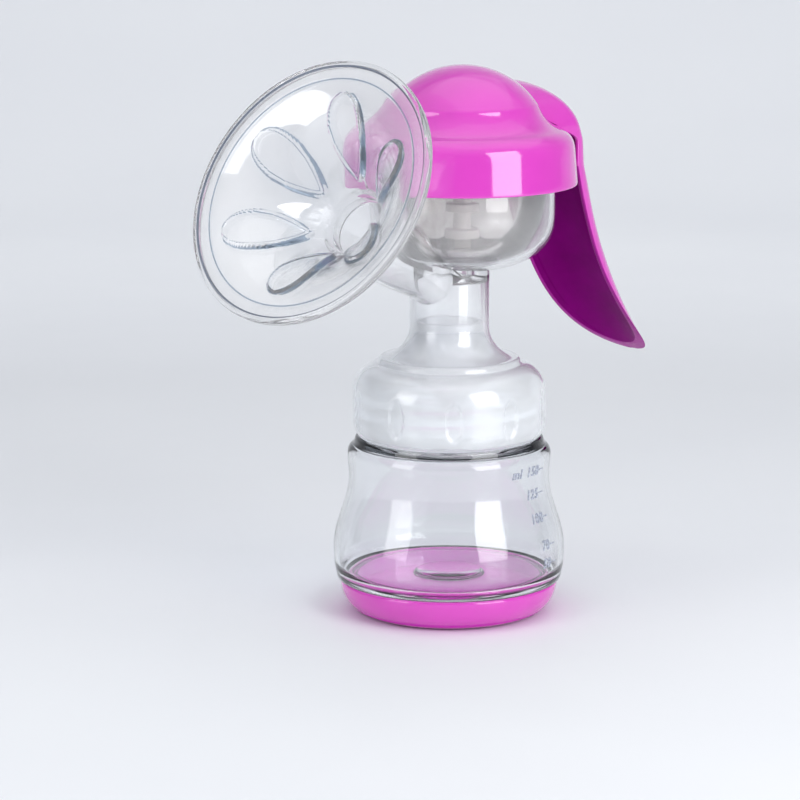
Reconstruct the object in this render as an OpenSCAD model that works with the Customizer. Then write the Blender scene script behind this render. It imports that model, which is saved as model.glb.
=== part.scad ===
// Manual breast pump with a squeeze handle, standing on its bottle.
// Origin: centre of the base cup's underside, on the bottle's axis, +Z up.
// The flange faces -X, the handle stands at +X, and everything mirrors about Y = 0.

/* [View] */
// piece to draw, or all

/* [Base cup] */
// radius of the flat underside
base_foot_r = 28; // [24:0.5:32]
// outer radius at the rim
base_rim_r = 37.3; // [34:0.1:40]
// height of the cup
base_h = 11; // [8:0.5:16]
// floor thickness
base_floor = 2; // [1.5:0.1:3]

/* [Bottle] */
// widest radius
belly_r = 39.75; // [36:0.25:44]
// height of the widest place
belly_z = 22; // [18:0.5:28]
// radius at the waist
waist_r = 34.4; // [31:0.1:38]
// height of the waist
waist_z = 47.5; // [42:0.5:52]
// radius at the shoulder
shoulder_r = 34.8; // [32:0.1:38]
// height of the shoulder
shoulder_z = 55; // [52:0.5:58]
// wall thickness
bottle_wall = 1.8; // [1.2:0.1:2.5]
// outer radius of the neck
neck_r = 27.8; // [24:0.1:29]
// height of the mouth
mouth_z = 82; // [78:0.5:84]

/* [Screw thread] */
// rise per turn
pitch = 5; // [4:0.5:6]
// turns on the bottle
neck_turns = 2; // [1:0.25:2.25]
// turns in the collar
collar_turns = 1.5; // [1:0.25:2]
// height of a rib
rib_h = 1.5; // [1:0.1:2]

/* [Pump body] */
// radius of the collar at its widest
collar_r = 33; // [31:0.1:35]
// height of the collar's lower edge
collar_z = 62.2; // [61.8:0.1:63]
// radius of the collar's rounded edges
collar_round = 10; // [6:0.5:12]
// outer radius of the tube above the collar
tube_r = 13.6; // [12:0.1:15]
// wall thickness of the tube, bowl and side tunnel
body_wall = 1.9; // [1.5:0.1:2.5]
// distance of the head's axis behind the bottle's axis
head_x = 6.9; // [0:0.1:9]
// outer radius of the bowl
bowl_r = 31.6; // [29:0.1:34]
// lowest point of the bowl, outside
bowl_z = 117.8; // [115:0.1:121]
// height where the bowl's side turns straight
bowl_side_z = 138; // [134:0.5:142]
// height of the bowl's rim
rim_z = 151.5; // [150:0.1:153]
// radius of the bowl's rim
rim_r = 35.8; // [34:0.1:36.2]

/* [Flange] */
// distance of the flange's front centre ahead of the bottle's axis
flange_x = 73; // [68:0.5:78]
// height of the flange's front centre
flange_z = 153; // [148:0.5:158]
// tilt of the flange's axis above level
flange_tilt = 30; // [20:1:40]
// radius of the front edge, over the soft lip
flange_r = 46.2; // [42:0.1:50]
// radius of the throat
throat_r = 9.9; // [9:0.1:13]
// depth from the front edge to the throat
bell_depth = 29; // [24:0.5:34]
// how sharply the bell curves, 1 being a plain cone
bell_power = 2.2; // [1.4:0.1:2.8]
// wall of the soft cushion
cushion_wall = 1.6; // [1:0.1:2.2]
// wall of the hard funnel
funnel_wall = 1.8; // [1.5:0.1:2.5]

/* [Petals] */
// number of petals around the throat
petal_count = 6; // [4:1:8]
// radial distance of a petal's round end
petal_out = 29; // [26:0.5:33]
// radial distance of a petal's tip
petal_in = 13.5; // [12:0.5:16]
// radius of a petal's round end
petal_r = 7.2; // [5:0.1:9]
// height of a petal above the cushion
petal_h = 0.9; // [0.5:0.1:1.5]

/* [Diaphragm and stem] */
// thickness of the diaphragm
skin = 1.2; // [0.8:0.1:2]
// underside of the diaphragm's floor
floor_z = 122.6; // [122:0.1:124]
// radius of the stem's shaft
shaft_r = 3.1; // [2.5:0.1:4]
// radius of the stem's head, above the fork
head_r = 6.5; // [5:0.1:8]

/* [Cap] */
// radius of the cap's lower edge
cap_r = 39; // [37:0.1:41]
// height of the cap's lower edge
cap_z = 147.1; // [146:0.1:149]
// radius of the dome
dome_r = 31; // [28:0.1:34]
// height of the dome's centre
dome_z = 156.3; // [152:0.1:160]
// wall thickness
cap_wall = 2.2; // [1.6:0.1:3]

/* [Handle] */
// distance of the hinge behind the bottle's axis
pivot_x = 35.5; // [33:0.1:37]
// height of the hinge
pivot_z = 159.5; // [158:0.1:161]
// half the handle's width
handle_w = 16.2; // [14:0.1:18]
// depth of the hollow grip, lips to back
handle_d = 10.8; // [8:0.1:14]
// radius of the grip's long curve, at its lips
grip_r = 167.7; // [140:0.1:200]
// thickness of the handle's back
handle_wall = 1.8; // [1.5:0.1:3]
// height of the handle's tip
tip_z = 74.8; // [70:0.1:80]
// height where the lips start to run back to the tip
narrow_z = 121; // [117:1:124]
// radius of the hinge pin
pin_r = 1.5; // [1.2:0.1:2]

/* [Hidden] */
$fn = 96;
clear = [0.86, 0.9, 0.95, 0.35];
soft = [0.94, 0.95, 0.97, 0.6];
magenta = [0.85, 0.2, 0.75];
// play between the pin and the handle's bore
pin_play = 0.05;
// radius of the tube's bore, and of the valve plugged into it
bore_r = 11.6;
valve_r = 11.52;
// distance of the flange's front from the tube's axis, along the flange's axis
flange_s = flange_x / cos(flange_tilt);
// rim of the bell, share of it that the hard funnel backs, and the soft lip's inner radius
bell_r = flange_r - 1.2;
funnel_end = 0.985;
lip_in = throat_r + (bell_r - throat_r) * funnel_end + 0.15;
// height where the collar's node ends and the tube's begins
split_z = 87.3;
// ring under the bottle that the base cup grips
ring_r = 33.8;
ring_z = 5.4;
// floor of the bottle, outside and inside
bottle_floor = 13;
// inner radius of the collar
collar_in = 30;
// centre of the grip's long curve, in the XZ plane
grip_x = 213.4;
grip_z = 192.6;
// X of the handle's tip, and the point its lips aim at on their way there
tip_x = 110.5;
aim_x = 76.4;
aim_z = 91;
// wall at the handle's lips, as a share of the wall at its back
lip_share = 0.65;
// centre of the head's round, seen from the front
head_z = 163.6;
// centre of the rounding over the handle's head
crown_x = 31.2;
crown_z = 149.6;
crown_r = 30;
// ball that rounds the head's corners
ball_x = 36;
ball_z = 152;
ball_r = 27;
// top of the fork's round prong ends, and the play under the stem's head
prong_r = 2.4;
prong_play = 0.3;
lift_z = pivot_z + prong_r + prong_play;

// ---- curves ----

// X of the grip's lips at height z
function lip_x(z) = grip_x - sqrt(pow(grip_r, 2) - pow(grip_z - z, 2));

// value that eases from a to b as t goes from 0 to 1
function ease(a, b, t) = a + (b - a) * (0.5 - 0.5 * cos(180 * t));

// points of an arc, angles a0 to a1
function arc(cx, cy, rx, ry, a0, a1, n = 12) =
    [for (i = [0:n]) let (a = a0 + (a1 - a0) * i / n) [cx + rx * cos(a), cy + ry * sin(a)]];

// points of a curve that leaves p towards q and arrives at r
function bend(p, q, r, n = 8) =
    [for (i = [0:n]) let (t = i / n) (1 - t) * (1 - t) * p + 2 * t * (1 - t) * q + t * t * r];

// quarter of a rounded square, semi-axes a and b, from (a, 0) down to (0, -b)
function squircle(a, b, power, n = 12) =
    [for (i = [0:n]) let (t = 90 * i / n) [a * pow(cos(t), 2 / power), -b * pow(sin(t), 2 / power)]];

function reversed(v) = [for (i = [len(v) - 1:-1:0]) v[i]];
function shifted(v, d) = [for (p = v) p + d];

// outer radius of the bottle's side at height z
function bottle_r(z) =
    z < belly_z ? belly_r - 1.5 * pow((belly_z - z) / (belly_z - base_h), 2)
    : z < waist_z ? ease(belly_r, waist_r, (z - belly_z) / (waist_z - belly_z))
    : ease(waist_r, shoulder_r, (z - waist_z) / (shoulder_z - waist_z));

// radius of the bell at share u from throat to rim, and its depth behind the rim
function bell_at(u) = [throat_r + (bell_r - throat_r) * u, bell_depth * pow(1 - u, bell_power)];
// steepness of the bell at share u
function bell_slope(u) = bell_depth * bell_power / (bell_r - throat_r) * pow(1 - u, bell_power - 1);
// point of a surface that lies off behind the bell, as [radius, height]
function bell_point(u, off) =
    let (m = bell_slope(u), l = sqrt(1 + m * m), p = bell_at(u))
    [p[0] + off * m / l, -p[1] - off / l];
function bell_line(off, u0 = 0, u1 = 1, n = 14) =
    [for (i = [0:n]) bell_point(u0 + (u1 - u0) * i / n, off)];

// half of the grip's cross-section, as [distance before the lips' plane, half width]
function grip_half(w, d, n = 12) = arc(0, 0, d, w, 90, 0, n);

// ---- shared shapes ----

// turns a profile of [radius, height] points about the axis
module turned(points) {
    rotate_extrude() polygon(points);
}

// moves to the head's axis
module on_head() {
    translate([head_x, 0, 0]) children();
}

// moves to the flange's front centre: local +Z looks out of the flange, local +X is its upper side
module on_flange() {
    translate([-flange_x, 0, flange_z]) rotate([0, flange_tilt - 90, 0]) children();
}

// plate with an XZ outline, centred on Y = 0
module side_plate(points, width) {
    rotate([90, 0, 0]) linear_extrude(width, center = true) polygon(points);
}

// round bar along Y, centred on Y = 0
module cross_bar(x, z, r, width) {
    translate([x, 0, z]) rotate([90, 0, 0]) cylinder(r = r, h = width, center = true);
}

// interrupted thread: root and crest radii, height of the first lug, turns
module thread_rib(root, crest, z0, turns, lugs_per_turn = 12) {
    step = 360 / lugs_per_turn;
    lean = atan(pitch / (2 * PI * root));
    for (i = [0:turns * lugs_per_turn - 1]) {
        rotate(step * i) translate([0, 0, z0 + pitch * i / lugs_per_turn]) rotate([lean, 0, 0])
            rotate(-13) rotate_extrude(angle = 26)
                polygon([[root, -1.2], [crest, -0.5], [crest, 0.5], [root, 1.2]]);
    }
}

// ---- base cup ----

module base_cup() {
    color(magenta)
    turned(concat(
        [[0, 0], [base_foot_r, 0]],
        arc(base_foot_r, base_h, base_rim_r - base_foot_r, base_h, -80, 0, 10),
        [[ring_r + 0.2, base_h], [ring_r + 0.2, ring_z - 0.4]],
        arc(base_foot_r - 2, ring_z - 0.4, ring_r - base_foot_r + 1, ring_z - 0.4 - base_floor, -10, -90, 6),
        [[0, base_floor]]
    ));
}

// ---- bottle ----

module bottle_glass() {
    side_z = [for (i = [0:22]) base_h + 1 + (shoulder_z - base_h - 1) * i / 22];
    inner_z = [for (i = [0:18]) shoulder_z - (shoulder_z - 17) * i / 18];
    turned(concat(
        [[0, base_h - 0.5], [4, base_h - 0.5], [4.5, base_h], [ring_r - 1.6, base_h],
         [ring_r - 1.6, ring_z], [ring_r, ring_z], [ring_r, base_h], [base_rim_r + 0.2, base_h]],
        [for (z = side_z) [bottle_r(z), z]],
        bend([34.6, 56.4], [34.2, 57.6], [33.2, 58.4], 4),
        bend([32.5, 59.2], [31.8, 60.4], [31.4, 61.5], 4),
        [[neck_r, 61.5], [neck_r, mouth_z - 0.5], [neck_r - 0.5, mouth_z],
         [neck_r - 2, mouth_z], [neck_r - 2, 60.6]],
        bend([28, 59.6], [31.6, 58.6], [32.6, 56.6], 4),
        [for (z = inner_z) [bottle_r(z) - bottle_wall, z]],
        bend([37.1, 16], [36.6, bottle_floor], [33.5, bottle_floor], 5),
        [[0, bottle_floor]]
    ));
}

module bottle() {
    color(clear) {
        bottle_glass();
        thread_rib(neck_r - 0.3, neck_r + rib_h, 65.5, neck_turns);
    }
}

// ---- pump body ----

// outside of the collar and tube
module collar_and_tube() {
    edge = collar_r - collar_round;
    turned(concat(
        [[0, collar_z]],
        arc(edge, 67.3, collar_round, collar_round, -asin((67.3 - collar_z) / collar_round), 0, 5),
        arc(edge, 76.6, collar_round, collar_round, 0, 80, 9),
        [[24.3, 86.5], [24.2, 87.9], [23.7, 88.4]],
        arc(24.5, 99.3, 24.5 - tube_r, 24.5 - tube_r, 260, 180, 8),
        [[tube_r, 122], [0, 122]]
    ));
}

// inside of the collar and tube, with the way up into the bowl
module collar_and_tube_bore() {
    turned(concat(
        [[0, collar_z - 1], [collar_in, collar_z - 1]],
        arc(23.8, 77.8, collar_in - 23.8, 6.2, 0, 90, 6),
        [[22.4, 84.6], [22.2, 86.2]],
        arc(24.5, 99.3, 24.5 - bore_r, 24.5 - bore_r, 259, 180, 8),
        [[bore_r, 115.5], [6, 117], [6, 124], [0, 124]]
    ));
}

module bowl_outside() {
    on_head() turned(concat(
        [[0, rim_z], [rim_r, rim_z], [rim_r, rim_z - 2.4], [rim_r - 0.5, rim_z - 2.9], [bowl_r, rim_z - 2.9]],
        shifted(squircle(bowl_r, bowl_side_z - bowl_z, 2.6), [0, bowl_side_z])
    ));
}

module bowl_inside() {
    on_head() turned(concat(
        [[0, rim_z + 1], [bowl_r - body_wall, rim_z + 1]],
        shifted(squircle(bowl_r - body_wall, bowl_side_z - bowl_z - body_wall, 2.6), [0, bowl_side_z])
    ));
}

// side tunnel and hard funnel, outside
module funnel_outside() {
    on_flange() turned(concat(
        [[0, -flange_s], [9, -flange_s], [9.4, 15.7 - flange_s], [12, 30 - flange_s], [13.2, 46 - flange_s]],
        bell_line(cushion_wall + 0.1 + funnel_wall, 0.03, funnel_end),
        [[0, bell_point(funnel_end, cushion_wall + 0.1 + funnel_wall)[1]]]
    ));
}

// side tunnel and hard funnel, inside
module funnel_inside() {
    on_flange() turned(concat(
        [[0, -flange_s], [7.2, -flange_s], [7.6, 15.7 - flange_s], [10.2, 30 - flange_s],
         [11.3, 46 - flange_s], [throat_r + cushion_wall + 0.1, -bell_depth - 4.2]],
        bell_line(cushion_wall + 0.1, 0, 1),
        [[bell_r + 2, bell_point(1, cushion_wall + 0.1)[1]], [bell_r + 2, 8], [0, 8]]
    ));
}

// cuts the passages out of a piece of the pump body
module hollowed() {
    difference() {
        children();
        collar_and_tube_bore();
        bowl_inside();
        funnel_inside();
    }
}

// the collar, tube, bowl and funnel are one clear moulding, in four nodes
module pump_collar() {
    color(clear) {
        hollowed() intersection() {
            collar_and_tube();
            cylinder(r = 40, h = split_z);
        }
        thread_rib(collar_in + 0.3, collar_in - rib_h, 68, collar_turns);
    }
}

module pump_tube() {
    color(clear) hollowed() difference() {
        collar_and_tube();
        cylinder(r = 40, h = split_z);
        bowl_outside();
    }
}

module pump_bowl() {
    color(clear) hollowed() bowl_outside();
}

module pump_funnel() {
    color(clear) hollowed() difference() {
        funnel_outside();
        collar_and_tube();
        bowl_outside();
    }
}

// ---- breast cushion ----

module cushion_shell() {
    turned(concat(
        [[throat_r, -bell_depth - 4]],
        bell_line(0),
        bend([bell_r + 0.4, 0.2], [flange_r, 0.2], [flange_r, -0.8], 4),
        bend([flange_r, -1.4], [flange_r, -2.4], [flange_r - 0.8, -2.4], 4),
        [[lip_in, -2.4], [lip_in, -1.65]],
        bell_line(cushion_wall, funnel_end, 0),
        [[throat_r + cushion_wall, -bell_depth - 4]]
    ));
}

// teardrop with its tip towards the throat
module petal_outline() {
    reach = petal_out - petal_in;
    lean = asin(petal_r / reach);
    translate([petal_out, 0]) circle(petal_r);
    polygon([
        [petal_in, 0],
        [petal_out - petal_r * sin(lean), -petal_r * cos(lean)],
        [petal_out, 0],
        [petal_out - petal_r * sin(lean), petal_r * cos(lean)]
    ]);
}

module petal_pads() {
    intersection() {
        turned(concat(bell_line(-petal_h, 0.02, 0.95), bell_line(cushion_wall / 2, 0.95, 0.02)));
        for (i = [0:petal_count - 1]) {
            rotate(360 / petal_count * i) translate([0, 0, -40]) linear_extrude(42) petal_outline();
        }
    }
}

module breast_cushion() {
    color(soft) on_flange() {
        cushion_shell();
        petal_pads();
    }
}

// ---- milk valve ----

module milk_valve() {
    color(soft) difference() {
        union() {
            translate([0, 0, 83]) cylinder(r = valve_r, h = 18);
            translate([0, 0, 83]) cylinder(r = 19, h = 2);
            translate([0, 0, 67]) cylinder(r1 = 4.5, r2 = 11, h = 16);
        }
        translate([0, 0, 83]) cylinder(r = valve_r - 1.7, h = 19);
        translate([0, 0, 69]) cylinder(r1 = 3, r2 = valve_r - 1.7, h = 14.1);
        translate([-0.25, -2.6, 66]) cube([0.5, 5.2, 4]);
    }
}

// ---- diaphragm ----

module diaphragm() {
    color(soft) on_head() turned(concat(
        [[0, floor_z], [17.5, floor_z]],
        bend([18.5, floor_z + 0.2], [22, 124.2], [24.2, 128.4], 5),
        bend([25, 130], [28.2, 136.5], [28.5, 146], 5),
        [[28.6, rim_z], [rim_r - 0.4, rim_z], [rim_r - 0.4, rim_z + 1.4], [28.6 - skin, rim_z + 1.4]],
        bend([28.5 - skin, 146], [27, 136.5], [23.9, 130.6], 5),
        bend([23.1, 129], [21, 125], [17.5, floor_z + skin], 5),
        [[7.6, floor_z + skin], [7.3, floor_z + skin + 0.3], [7.3, 127.7], [7, 128],
         [4.1, 128], [4.1, 124.2], [0, 124.2]]
    ));
}

// ---- stem ----

module stem() {
    color([0.95, 0.95, 0.95]) on_head() turned(concat(
        [[0, 124.3], [4, 124.3], [4, 128.1], [6, 128.1], [6, 131], [5.6, 131.4],
         [shaft_r, 131.4], [shaft_r, 138], [5.4, 138], [5.7, 138.3], [5.7, 140.8], [5.4, 141.1],
         [shaft_r, 141.1], [shaft_r, lift_z], [head_r, lift_z]],
        bend([head_r, lift_z + 1.2], [head_r, lift_z + 2.5], [head_r - 2, lift_z + 2.5], 4),
        [[0, lift_z + 2.5]]
    ));
}

// ---- cap ----

module cap_outside() {
    on_head() turned(concat(
        [[0, cap_z], [cap_r - 0.4, cap_z], [cap_r, cap_z + 0.5]],
        bend([cap_r - 0.8, 158.5], [cap_r - 1.3, 163.4], [33, 165.6], 8),
        bend([32, 166.1], [28, 168.2], [25.7, 173.6], 8),
        arc(0, dome_z, dome_r, dome_r, 36, 90, 14)
    ));
}

module cap_inside() {
    on_head() turned(concat(
        [[0, cap_z - 1], [rim_r + 0.6, cap_z - 1]],
        bend([cap_r - 0.8 - cap_wall, 157.5], [cap_r - 1.3 - cap_wall, 161.3], [31.6, 163.6], 8),
        bend([30.6, 164.1], [26.2, 166.4], [23.9, 172.2], 8),
        arc(0, dome_z, dome_r - cap_wall, dome_r - cap_wall, 36, 90, 14)
    ));
}

// two ears that hold the hinge pin
module cap_ears() {
    outline = [
        [pivot_x, pivot_z - 4.2],
        [pivot_x + 12, pivot_z - 4.2],
        [pivot_x + 12, pivot_z + 5],
        [pivot_x, pivot_z + 4.2]
    ];
    for (s = [-1, 1]) {
        translate([0, 7.6 * s, 0]) side_plate(outline, 2.4);
        translate([0, 7.6 * s, 0]) cross_bar(pivot_x, pivot_z, 4.2, 2.4);
    }
}

module cap() {
    color(magenta) difference() {
        union() {
            difference() {
                cap_outside();
                cap_inside();
            }
            intersection() {
                cap_ears();
                cap_outside();
            }
        }
        translate([31, -6.4, cap_z - 1]) cube([20, 12.8, 22.4]);
        cross_bar(pivot_x, pivot_z, pin_r, 40);
    }
}

// ---- hinge pin ----

module hinge_pin() {
    color([0.8, 0.8, 0.82]) cross_bar(pivot_x, pivot_z, pin_r, 17.6);
}

// ---- handle ----

// moves to the centre of the grip's long curve, with its axis along Y
module on_grip() {
    translate([grip_x, 0, grip_z]) rotate([90, 0, 0]) children();
}

// grip filled from its back to well past its lips, its skin moved in by off
module grip_solid(off) {
    half_w = handle_w - lip_share * off;
    half = grip_half(half_w, handle_d - off);
    line = concat(
        [[grip_r + 30, half_w]],
        [for (p = half) [grip_r - p[0], p[1]]],
        [for (p = reversed(half)) [grip_r - p[0], -p[1]]],
        [[grip_r + 30, -half_w]]
    );
    on_grip() rotate(174) rotate_extrude(angle = 60, $fn = 180) polygon(line);
}

// front view of the handle's head: an arch, with straight sides below it
module head_front(off) {
    half_w = handle_w - off;
    outline = concat(arc(0, head_z, half_w, half_w, 0, 180, 20), [[-half_w, 60], [half_w, 60]]);
    translate([20, 0, 0]) rotate([90, 0, 90]) linear_extrude(110) polygon(outline);
}

// side view of the handle's head: rounded over the top, open below
module head_side(off) {
    outline = concat(
        arc(crown_x, crown_z, crown_r - off, crown_r - off, 90, 13, 14),
        [[140, 150], [140, 60], [20, 60], [20, crown_z + crown_r - off]]
    );
    side_plate(outline, 60);
}

// ball that rounds the corners of the handle's head, with room for the grip below it
module head_ball(off) {
    translate([ball_x, 0, ball_z]) sphere(ball_r - off);
    translate([0, -30, 40]) cube([160, 60, ball_z - 42]);
}

// handle filled solid, its skin moved in by off
module handle_block(off) {
    intersection() {
        grip_solid(off);
        head_front(off);
        head_side(off);
        head_ball(off);
    }
}

// what the shell keeps: behind the lips, and behind the cap's shoulder at the head
module handle_keep() {
    behind_cap = [
        [48.6, 161], [44.5, 164.2], [40.5, 166.8], [36, 168.8], [33.4, 171.4], [31.8, 175],
        [29.8, 179], [29, 183], [80, 183], [80, 161]
    ];
    far_x = tip_x + 40;
    lip_line = [for (z = [161:-4:125]) [lip_x(z), z]];
    to_tip = bend([lip_x(narrow_z), narrow_z], [aim_x, aim_z], [tip_x, tip_z], 14);
    side_plate(concat(lip_line, to_tip, [[far_x, tip_z], [far_x, 161]]), 60);
    side_plate(behind_cap, 60);
}

module handle_shell() {
    intersection() {
        difference() {
            handle_block(0);
            handle_block(handle_wall);
        }
        handle_keep();
    }
}

// rocker inside the cap: hub, fork towards the stem, web out to the grip
module handle_arm() {
    fork = [
        [head_x, pivot_z - 2.2], [17, pivot_z - 2.2], [33, pivot_z - 3.4], [pivot_x, pivot_z - 4],
        [pivot_x, pivot_z + 4], [33, pivot_z + 3.4], [17, pivot_z + 2.2], [head_x, pivot_z + 2.2]
    ];
    web = [
        [pivot_x, pivot_z - 4], [43.5, pivot_z - 3.2], [50, 152.8], [64, 149],
        [64, 158], [52, 164.5], [pivot_x, pivot_z + 4]
    ];
    difference() {
        union() {
            side_plate(fork, 12);
            cross_bar(head_x, pivot_z, prong_r, 12);
            cross_bar(pivot_x, pivot_z, 4, 12);
            intersection() {
                side_plate(web, 11);
                handle_block(handle_wall / 2);
            }
        }
        translate([-5, -3.7, pivot_z - 6]) cube([20, 7.4, 12]);
        cross_bar(pivot_x, pivot_z, pin_r + pin_play, 40);
    }
}

module handle() {
    color(magenta) {
        handle_shell();
        handle_arm();
    }
}

base_cup();
bottle();
pump_collar();
pump_tube();
pump_bowl();
pump_funnel();
breast_cushion();
milk_valve();
diaphragm();
stem();
cap();
hinge_pin();
handle();
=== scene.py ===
"""Looks of the manual breast pump: clear bottle, pump body, soft cushion, magenta cup, cap and handle."""

import math

import bmesh
import bpy
import numpy as np
from mathutils import Matrix, Vector

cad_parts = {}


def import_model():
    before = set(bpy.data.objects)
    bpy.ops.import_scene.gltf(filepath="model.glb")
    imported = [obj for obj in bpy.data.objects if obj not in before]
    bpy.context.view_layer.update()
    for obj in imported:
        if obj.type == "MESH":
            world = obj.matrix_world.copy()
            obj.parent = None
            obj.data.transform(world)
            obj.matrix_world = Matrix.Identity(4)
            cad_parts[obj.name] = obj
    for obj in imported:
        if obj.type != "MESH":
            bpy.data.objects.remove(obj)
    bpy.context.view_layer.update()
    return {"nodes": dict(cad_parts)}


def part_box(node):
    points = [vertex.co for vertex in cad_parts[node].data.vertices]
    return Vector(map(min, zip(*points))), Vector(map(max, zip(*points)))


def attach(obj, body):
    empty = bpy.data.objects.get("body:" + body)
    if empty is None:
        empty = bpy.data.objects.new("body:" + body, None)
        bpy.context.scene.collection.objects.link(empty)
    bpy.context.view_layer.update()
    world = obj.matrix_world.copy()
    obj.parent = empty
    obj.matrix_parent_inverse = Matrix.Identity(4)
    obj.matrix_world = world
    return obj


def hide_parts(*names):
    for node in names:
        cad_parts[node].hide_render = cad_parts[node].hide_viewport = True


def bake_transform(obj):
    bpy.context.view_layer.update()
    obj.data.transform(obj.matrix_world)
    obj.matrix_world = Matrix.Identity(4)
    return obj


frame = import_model()

MM = 0.001
HEAD_X = 6.9  # the head's axis lies this far behind the bottle's
FLANGE_AT, FLANGE_TILT = (-73.0, 153.0), 30.0  # flange's front centre in X and Z, and its tilt
FLANGE_S = -FLANGE_AT[0] / math.cos(math.radians(FLANGE_TILT))
PIVOT = (35.5, 159.5)  # hinge of the handle, X and Z
CUP_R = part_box("base_cup")[1].x / MM
CUP_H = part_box("base_cup")[1].z / MM
BELLY_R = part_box("bottle")[1].x / MM
MOUTH_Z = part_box("bottle")[1].z / MM
CAP_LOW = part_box("cap")[0].z / MM


# ---- curves, in millimetres ----

def ease(a, b, t):
    """Value that eases from a to b as t goes from 0 to 1."""
    return a + (b - a) * (0.5 - 0.5 * math.cos(math.pi * min(max(t, 0.0), 1.0)))


def step(t):
    """Smooth 0 to 1 step, for numbers and arrays."""
    t = np.clip(t, 0.0, 1.0)
    return t * t * (3 - 2 * t)


def arc(cx, cy, rx, ry, a0, a1, n=10):
    """Points of an arc from angle a0 to a1, in degrees."""
    turns = [math.radians(a0 + (a1 - a0) * i / n) for i in range(n + 1)]
    return [(cx + rx * math.cos(a), cy + ry * math.sin(a)) for a in turns]


def bend(p, q, r, n=8):
    """Points of a curve that leaves p towards q and arrives at r."""
    p, q, r = Vector(p), Vector(q), Vector(r)
    shares = [i / n for i in range(n + 1)]
    return [tuple((1 - t) ** 2 * p + 2 * t * (1 - t) * q + t * t * r) for t in shares]


def squircle(a, b, power, n=20):
    """Quarter of a rounded square, from (a, 0) down to (0, -b)."""
    turns = [math.pi / 2 * i / n for i in range(n + 1)]
    return [(a * math.cos(t) ** (2 / power), -b * math.sin(t) ** (2 / power)) for t in turns[:-1]] + [(0, -b)]


def rounded(points, n=4):
    """A closed outline whose corners given as (x, y, radius) are rounded."""
    out = []
    for i, point in enumerate(points):
        if len(point) == 2:
            out.append(tuple(point))
            continue
        here = Vector(point[:2])
        before = Vector(points[i - 1][:2]) - here
        after = Vector(points[(i + 1) % len(points)][:2]) - here
        reach = min(point[2], 0.45 * before.length, 0.45 * after.length)
        out += bend(here + before.normalized() * reach, here, here + after.normalized() * reach, n)
    return out


def shifted(points, dx, dy):
    return [(p[0] + dx, p[1] + dy) for p in points]


# ---- meshes ----

def make_object(name, vertices, faces, crease=32.0):
    """A smooth-shaded object from points in millimetres; edges sharper than crease degrees stay sharp."""
    mesh = bpy.data.meshes.new(name)
    mesh.from_pydata([(x * MM, y * MM, z * MM) for x, y, z in vertices], [], faces)
    made = bpy.data.objects.new(name, mesh)
    bpy.context.scene.collection.objects.link(made)
    tidy(made, crease)
    return made


def tidy(made, crease=32.0):
    """Welds doubles, points the faces outward and sets the smooth shading."""
    work = bmesh.new()
    work.from_mesh(made.data)
    bmesh.ops.remove_doubles(work, verts=work.verts, dist=2e-6)
    bmesh.ops.dissolve_degenerate(work, edges=work.edges, dist=1e-6)
    bmesh.ops.recalc_face_normals(work, faces=work.faces)
    work.to_mesh(made.data)
    work.free()
    made.data.shade_smooth()
    made.data.set_sharp_from_angle(angle=math.radians(crease))


def turned(name, outline, segments=192, warp=None, crease=32.0):
    """Turns a closed outline of (radius, height) about Z.

    warp gives a new radius and height from an outline point's number, the angle, the radius and the height.
    """
    outline = rounded(outline)
    rings, vertices, faces = [], [], []
    for k, (radius, height) in enumerate(outline):
        if radius < 1e-6:
            rings.append([len(vertices)] * segments)
            vertices.append((0.0, 0.0, height))
            continue
        rings.append(list(range(len(vertices), len(vertices) + segments)))
        for j in range(segments):
            a = 2 * math.pi * j / segments
            r, z = warp(k, a, radius, height) if warp else (radius, height)
            vertices.append((r * math.cos(a), r * math.sin(a), z))
    closed = outline[0][0] > 1e-6 or outline[-1][0] > 1e-6
    for k in range(len(outline) if closed else len(outline) - 1):
        low, high = rings[k], rings[(k + 1) % len(outline)]
        for j in range(segments):
            i = (j + 1) % segments
            corners = [low[j], low[i], high[i], high[j]]
            corners = [c for n, c in enumerate(corners) if c not in corners[:n]]
            if len(corners) > 2:
                faces.append(corners)
    return make_object(name, vertices, faces, crease)


def plate(name, outline, width, bevel=0.4, y=0.0):
    """A flat plate with an XZ outline, centred on Y = y, its edges rounded by bevel."""
    count = len(outline)
    vertices = [(px, y + side * width / 2, pz) for side in (-1, 1) for px, pz in outline]
    faces = [list(range(count)), list(range(2 * count - 1, count - 1, -1))]
    faces += [[i, (i + 1) % count, count + (i + 1) % count, count + i] for i in range(count)]
    made = make_object(name, vertices, faces)
    if bevel:
        modifier = made.modifiers.new("edges", "BEVEL")
        modifier.width, modifier.segments, modifier.limit_method = bevel * MM, 3, "ANGLE"
        modifier.angle_limit = math.radians(40)
        apply_modifiers(made)
    return made


def apply_modifiers(made, crease=32.0):
    """Applies the modifiers of an object to its mesh."""
    seen = made.evaluated_get(bpy.context.evaluated_depsgraph_get())
    mesh = bpy.data.meshes.new_from_object(seen)
    made.modifiers.clear()
    made.data = mesh
    tidy(made, crease)


def place(made, matrix):
    """Moves the vertices of a mesh by a matrix, in millimetres."""
    m = matrix.copy()
    m.translation *= MM
    made.data.transform(m)
    made.data.update()
    return made


ON_HEAD = Matrix.Translation((HEAD_X, 0, 0))
TO_FLANGE_TILT = Matrix.Rotation(math.radians(FLANGE_TILT - 90), 4, "Y")
ON_FLANGE = Matrix.Translation((FLANGE_AT[0], 0, FLANGE_AT[1])) @ TO_FLANGE_TILT
ON_FLANGE_INVERSE = ON_FLANGE.inverted()


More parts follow.
